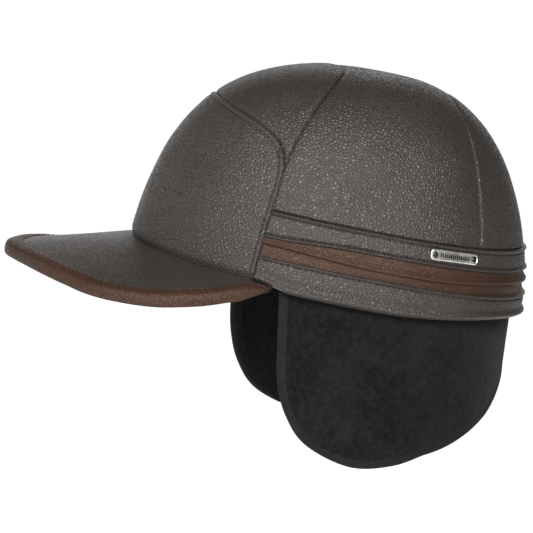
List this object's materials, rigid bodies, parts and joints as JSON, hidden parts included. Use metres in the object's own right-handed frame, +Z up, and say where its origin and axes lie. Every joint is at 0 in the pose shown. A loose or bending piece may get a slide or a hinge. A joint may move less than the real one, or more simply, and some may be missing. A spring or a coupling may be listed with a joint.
{
  "type": "winter cap with ear flaps",
  "caption": "Peaked leather winter cap with a bound brim, a layered band with a metal badge, and a fleece ear and neck strip that folds up inside the crown.",
  "frame": {"origin": "centre of the head opening, in the plane of the band's lower edge", "axes": "+X toward the wearer's left, +Y toward the back of the head, +Z up through the crown"},
  "size_m": [0.1768, 0.2811, 0.1997],
  "materials": {
    "black_leather": "pebbled black-brown leather with a soft satin sheen",
    "brown_leather": "chocolate brown leather, finely grained, satin",
    "sweatband_leather": "smooth thin black leather",
    "fleece": "charcoal black brushed fleece",
    "edge_tape": "black woven binding tape, folded over the edge and stitched",
    "satin_lining": "black quilted satin lining",
    "label_cloth": "woven grey label, blank",
    "badge_metal": "brushed nickel, slightly worn",
    "interlining": "stiff bonded interlining",
    "brim_board": "moulded polyethylene brim board"
  },
  "bodies": {
    "cap": {"front_panel": "black_leather", "upper_front_panel": "black_leather", "top_side_panel": "black_leather", "back_panel": "black_leather", "band_upper_strip": "black_leather", "band_trim_strip": "brown_leather", "band_lower_strip": "black_leather", "band_interlining": "interlining", "front_stiffener": "interlining", "crown_lining": "satin_lining", "sweatband": "sweatband_leather", "size_label": "label_cloth", "brim_top_cover": "black_leather", "brim_board": "brim_board", "brim_under_cover": "black_leather", "brim_binding": "brown_leather", "badge_plate": "badge_metal", "badge_rivets": "badge_metal", "left_neck_outer": "fleece", "left_neck_inner": "fleece", "left_neck_binding": "edge_tape", "right_neck_outer": "fleece", "right_neck_inner": "fleece", "right_neck_binding": "edge_tape"},
    "left_ear_flap": {"left_flap_outer": "fleece", "left_flap_inner": "fleece", "left_flap_binding": "edge_tape"},
    "right_ear_flap": {"right_flap_outer": "fleece", "right_flap_inner": "fleece", "right_flap_binding": "edge_tape"}
  },
  "joints": [
    {"name": "left_flap_fold", "type": "hinge", "parent": "cap", "child": "left_ear_flap", "pos_m": [0.06678, 0.01355, 0.008], "axis": [-0.056, 0.9984, 0], "range_deg": [0, 150], "deforming": ["left_neck_outer", "left_neck_inner", "left_neck_binding"]},
    {"name": "right_flap_fold", "type": "hinge", "parent": "cap", "child": "right_ear_flap", "pos_m": [-0.06678, 0.01355, 0.008], "axis": [-0.056, -0.9984, 0], "range_deg": [0, 150], "deforming": ["right_neck_outer", "right_neck_inner", "right_neck_binding"]}
  ]
}
